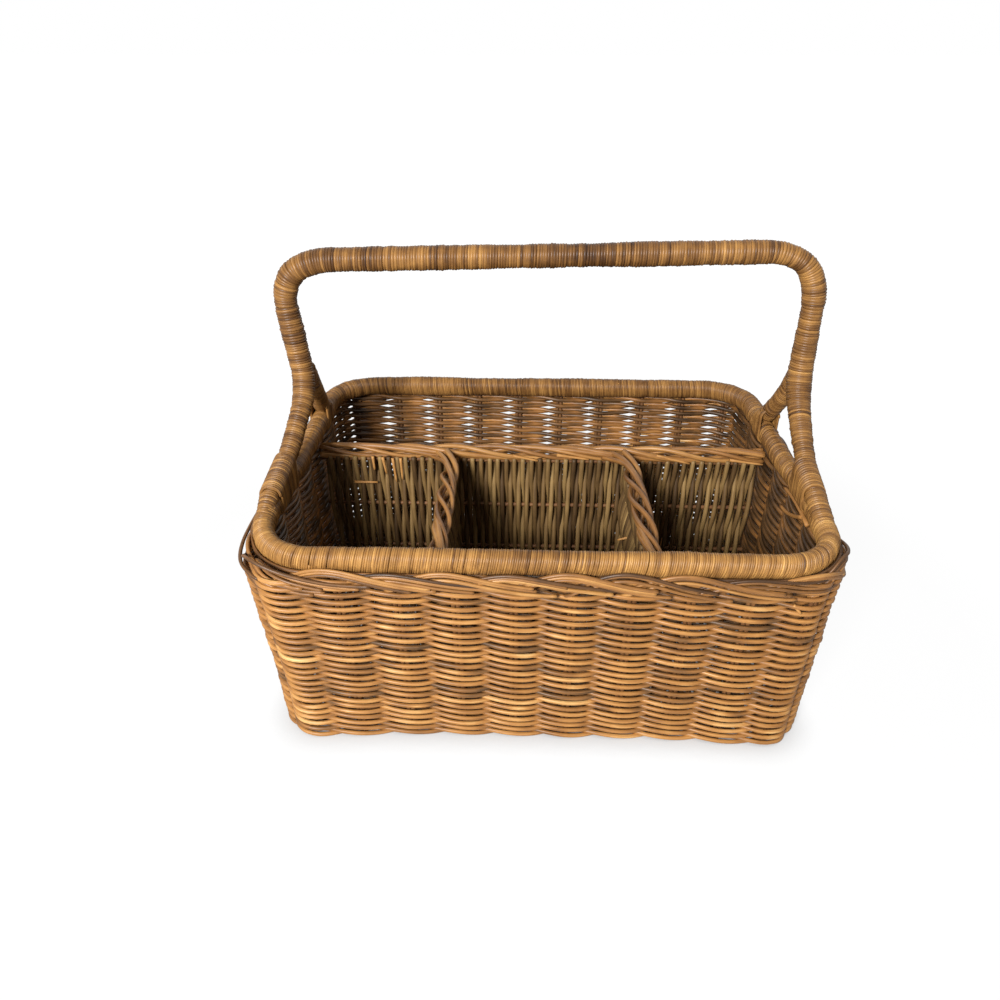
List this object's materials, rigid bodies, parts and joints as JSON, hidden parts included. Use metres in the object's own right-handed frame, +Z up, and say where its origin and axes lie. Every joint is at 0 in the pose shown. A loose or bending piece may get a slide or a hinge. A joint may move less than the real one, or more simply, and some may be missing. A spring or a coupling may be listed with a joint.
{
  "type": "wicker cutlery caddy",
  "caption": "Rectangular woven rattan caddy with a wrapped rim, inner dividers and a fixed, cane-wrapped carrying handle.",
  "frame": {"origin": "middle of the basket's footprint, on the surface that it stands on", "axes": "+X to the right along the handle, +Y to the back compartment, +Z up"},
  "size_m": [0.3804, 0.298, 0.306],
  "materials": {
    "wall_reed": "varnished reed, satin",
    "stake": "varnished rattan, satin",
    "divider_reed": "reed, satin",
    "cane_wrap": "glossy wrapping cane",
    "hidden_rod": "peeled rattan pole"
  },
  "bodies": {
    "root": {"base_sticks": "stake", "base_weave": "wall_reed", "front_stakes": "stake", "right_stakes": "stake", "back_stakes": "stake", "left_stakes": "stake", "corner_stakes": "stake", "front_weave": "wall_reed", "right_weave": "wall_reed", "back_weave": "wall_reed", "left_weave": "wall_reed", "front_right_corner_weave": "wall_reed", "back_right_corner_weave": "wall_reed", "back_left_corner_weave": "wall_reed", "front_left_corner_weave": "wall_reed", "long_divider_stakes": "divider_reed", "long_divider_weave": "divider_reed", "long_divider_border": "divider_reed", "left_divider_stakes": "divider_reed", "left_divider_weave": "divider_reed", "left_divider_border": "divider_reed", "right_divider_stakes": "divider_reed", "right_divider_weave": "divider_reed", "right_divider_border": "divider_reed", "front_border": "wall_reed", "right_border": "wall_reed", "back_border": "wall_reed", "left_border": "wall_reed", "corner_border_loops": "wall_reed", "rim_rod": "hidden_rod", "rim_wrap": "cane_wrap", "rim_corner_wrap": "cane_wrap", "handle_rod": "hidden_rod", "handle_top_wrap": "cane_wrap", "handle_bend_wraps": "cane_wrap", "handle_upright_wraps": "cane_wrap", "left_front_leg": "cane_wrap", "left_rear_leg": "cane_wrap", "right_front_leg": "cane_wrap", "right_rear_leg": "cane_wrap", "left_front_lashing": "cane_wrap", "left_rear_lashing": "cane_wrap", "right_front_lashing": "cane_wrap", "right_rear_lashing": "cane_wrap"}
  },
  "joints": []
}
